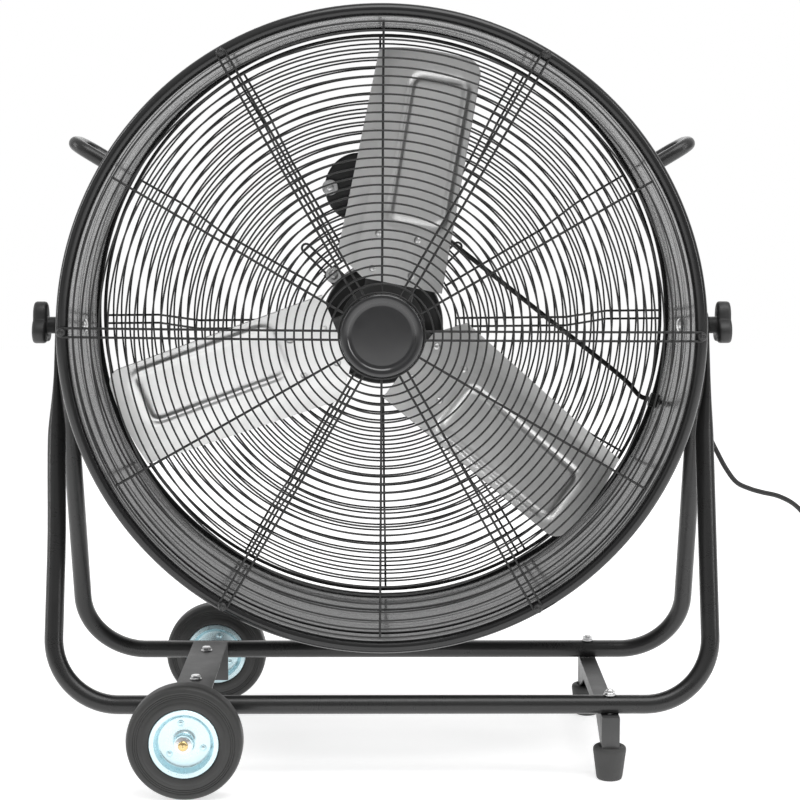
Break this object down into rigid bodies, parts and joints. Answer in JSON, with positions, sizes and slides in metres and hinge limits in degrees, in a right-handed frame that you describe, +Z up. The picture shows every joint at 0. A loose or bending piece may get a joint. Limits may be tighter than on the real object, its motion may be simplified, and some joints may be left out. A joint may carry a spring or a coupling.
{
  "type": "drum fan",
  "caption": "Drum fan with wire guards and pitched sheet-metal blades, tilting between two bent-tube frames on rolling wheels and rubber feet, with carrying handles and a power cord.",
  "frame": {"origin": "on the floor, under the centre of the drum, midway between the two frames", "axes": "+Z up; -Y is the front, where the air comes out; +X runs from the wheels' end to the feet's end, to the right as seen from the front"},
  "size_m": [1.2123, 0.5306, 1.0121],
  "materials": {
    "drum_paint": "satin black powder coat",
    "guard_paint": "semi-gloss black coat on wire",
    "badge_plastic": "glossy black",
    "guard_screw_paint": "black",
    "handle_paint": "satin black",
    "frame_paint": "satin black powder coat on tube",
    "bracket_paint": "satin dark grey",
    "motor_paint": "satin black",
    "hub_paint": "satin black",
    "bolt_zinc": "bright zinc",
    "axle_steel": "turned steel",
    "bearing_steel": "ground steel",
    "stator_core": "laminations with varnished winding",
    "rotor_core": "laminations",
    "blade_metal": "bare pressed sheet, lightly brushed",
    "box_plastic": "matt black",
    "knob_plastic": "matt black, moulded",
    "gland_plastic": "matt black",
    "cord_rubber": "smooth black sheath",
    "plug_plastic": "matt black, moulded",
    "pin_metal": "nickel plated",
    "tyre_rubber": "dark grey solid rubber",
    "rim_zinc": "bright zinc plated, slightly blue",
    "axle_screw_brass": "bright",
    "foot_rubber": "dark grey rubber"
  },
  "bodies": {
    "stand": {"front_frame": "frame_paint", "rear_frame": "frame_paint", "wheel_bracket": "bracket_paint", "bracket_bolt_front": "bolt_zinc", "bracket_bolt_rear": "bolt_zinc", "wheel_axle": "axle_steel", "axle_screw_front": "axle_screw_brass", "axle_screw_rear": "axle_screw_brass", "foot_bracket": "bracket_paint", "foot_bolt_front": "bolt_zinc", "foot_bolt_rear": "bolt_zinc", "foot_front": "foot_rubber", "foot_rear": "foot_rubber", "power_cord": "cord_rubber", "cord_coil": "cord_rubber", "plug_body": "plug_plastic", "plug_pin_1": "pin_metal", "plug_pin_2": "pin_metal"},
    "drum": {"drum_shell": "drum_paint", "front_guard": "guard_paint", "rear_guard": "guard_paint", "badge_disc": "badge_plastic", "guard_screw_1": "guard_screw_paint", "guard_screw_2": "guard_screw_paint", "guard_screw_3": "guard_screw_paint", "guard_screw_4": "guard_screw_paint", "guard_screw_5": "guard_screw_paint", "guard_screw_6": "guard_screw_paint", "handle_left": "handle_paint", "handle_right": "handle_paint", "pivot_bolt_left": "bolt_zinc", "pivot_bolt_right": "bolt_zinc", "motor_housing": "motor_paint", "motor_cover": "motor_paint", "stator": "stator_core", "front_bearing": "bearing_steel", "rear_bearing": "bearing_steel", "motor_bolt_1": "bolt_zinc", "motor_bolt_2": "bolt_zinc", "motor_bolt_3": "bolt_zinc", "motor_bolt_4": "bolt_zinc", "control_box": "box_plastic", "control_cover": "box_plastic", "switch_body": "box_plastic", "box_screw": "bolt_zinc", "supply_lead": "cord_rubber", "cord_gland": "gland_plastic"},
    "fan": {"motor_shaft": "axle_steel", "rotor_core": "rotor_core", "hub_spider": "hub_paint", "blade_1": "blade_metal", "blade_2": "blade_metal", "blade_3": "blade_metal"},
    "wheel_front": {"tyre_front": "tyre_rubber", "rim_front": "rim_zinc"},
    "wheel_rear": {"tyre_rear": "tyre_rubber", "rim_rear": "rim_zinc"},
    "knob_left": {"knob_left": "knob_plastic"},
    "knob_right": {"knob_right": "knob_plastic"},
    "speed_knob": {"speed_knob": "knob_plastic"}
  },
  "joints": [
    {"name": "drum_tilt", "type": "hinge", "parent": "stand", "child": "drum", "pos_m": [0, 0, 0.5904], "axis": [1, 0, 0], "range_deg": [-20, 45], "deforming": ["power_cord"]},
    {"name": "fan_spin", "type": "hinge", "parent": "drum", "child": "fan", "pos_m": [0, 0, 0.5904], "axis": [0, 1, 0], "continuous": true},
    {"name": "wheel_front_roll", "type": "hinge", "parent": "stand", "child": "wheel_front", "pos_m": [-0.2527, 0, 0.075], "axis": [0, 1, 0], "continuous": true},
    {"name": "wheel_rear_roll", "type": "hinge", "parent": "stand", "child": "wheel_rear", "pos_m": [-0.2527, 0, 0.075], "axis": [0, 1, 0], "continuous": true},
    {"name": "knob_right_turn", "type": "hinge", "parent": "drum", "child": "knob_right", "pos_m": [0, 0, 0.5904], "axis": [1, 0, 0], "range_deg": [0, 360]},
    {"name": "knob_left_turn", "type": "hinge", "parent": "drum", "child": "knob_left", "pos_m": [0, 0, 0.5904], "axis": [-1, 0, 0], "range_deg": [0, 360]},
    {"name": "speed_turn", "type": "hinge", "parent": "drum", "child": "speed_knob", "pos_m": [-0.0315, 0.105, 0.7774], "axis": [0, 1, 0], "range_deg": [0, 135]}
  ]
}
